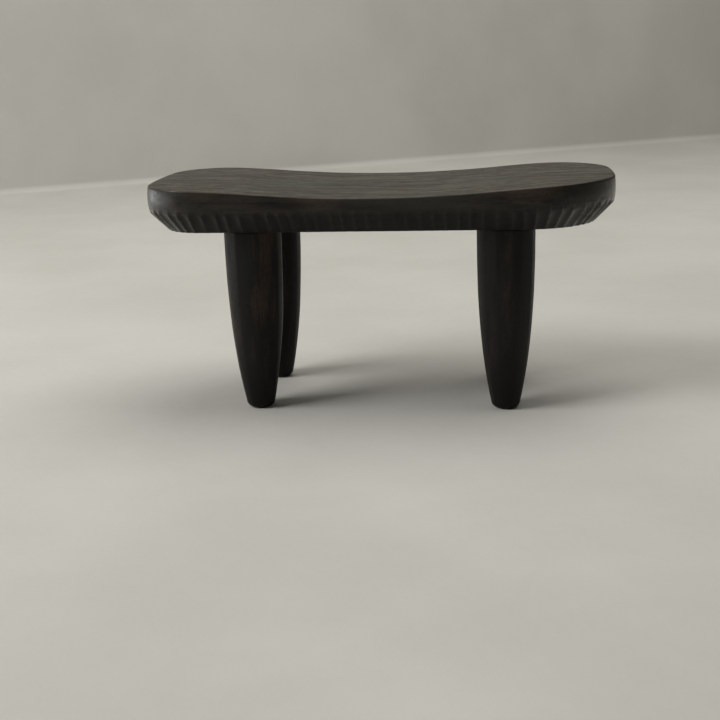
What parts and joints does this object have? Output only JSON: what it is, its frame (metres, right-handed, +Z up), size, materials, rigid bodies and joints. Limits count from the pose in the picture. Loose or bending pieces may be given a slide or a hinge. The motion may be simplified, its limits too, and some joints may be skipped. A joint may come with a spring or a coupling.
{
  "type": "carved wooden stool",
  "caption": "Low, bench-like carved wooden stool: a thick dished seat with rounded corners and a fluted, drawn-in lower edge, standing on stout tapered round legs.",
  "frame": {"origin": "on the floor, under the middle of the seat", "axes": "+X along the seat's length, +Y towards its back, +Z up"},
  "size_m": [0.856, 0.396, 0.42],
  "materials": {
    "seat_wood": "dark stained, satin wax",
    "leg_wood": "dark stained, satin wax",
    "joinery_wood": "raw hardwood",
    "felt": "pressed felt"
  },
  "bodies": {
    "root": {"seat_board_front": "seat_wood", "seat_board_middle": "seat_wood", "seat_board_back": "seat_wood", "leg_front_left": "leg_wood", "leg_front_right": "leg_wood", "leg_back_left": "leg_wood", "leg_back_right": "leg_wood", "wedge_front_left": "joinery_wood", "wedge_front_right": "joinery_wood", "wedge_back_left": "joinery_wood", "wedge_back_right": "joinery_wood", "seam_dowel_front_1": "joinery_wood", "seam_dowel_front_2": "joinery_wood", "seam_dowel_front_3": "joinery_wood", "seam_dowel_front_4": "joinery_wood", "seam_dowel_front_5": "joinery_wood", "seam_dowel_back_1": "joinery_wood", "seam_dowel_back_2": "joinery_wood", "seam_dowel_back_3": "joinery_wood", "seam_dowel_back_4": "joinery_wood", "seam_dowel_back_5": "joinery_wood", "foot_pad_front_left": "felt", "foot_pad_front_right": "felt", "foot_pad_back_left": "felt", "foot_pad_back_right": "felt"}
  },
  "joints": []
}
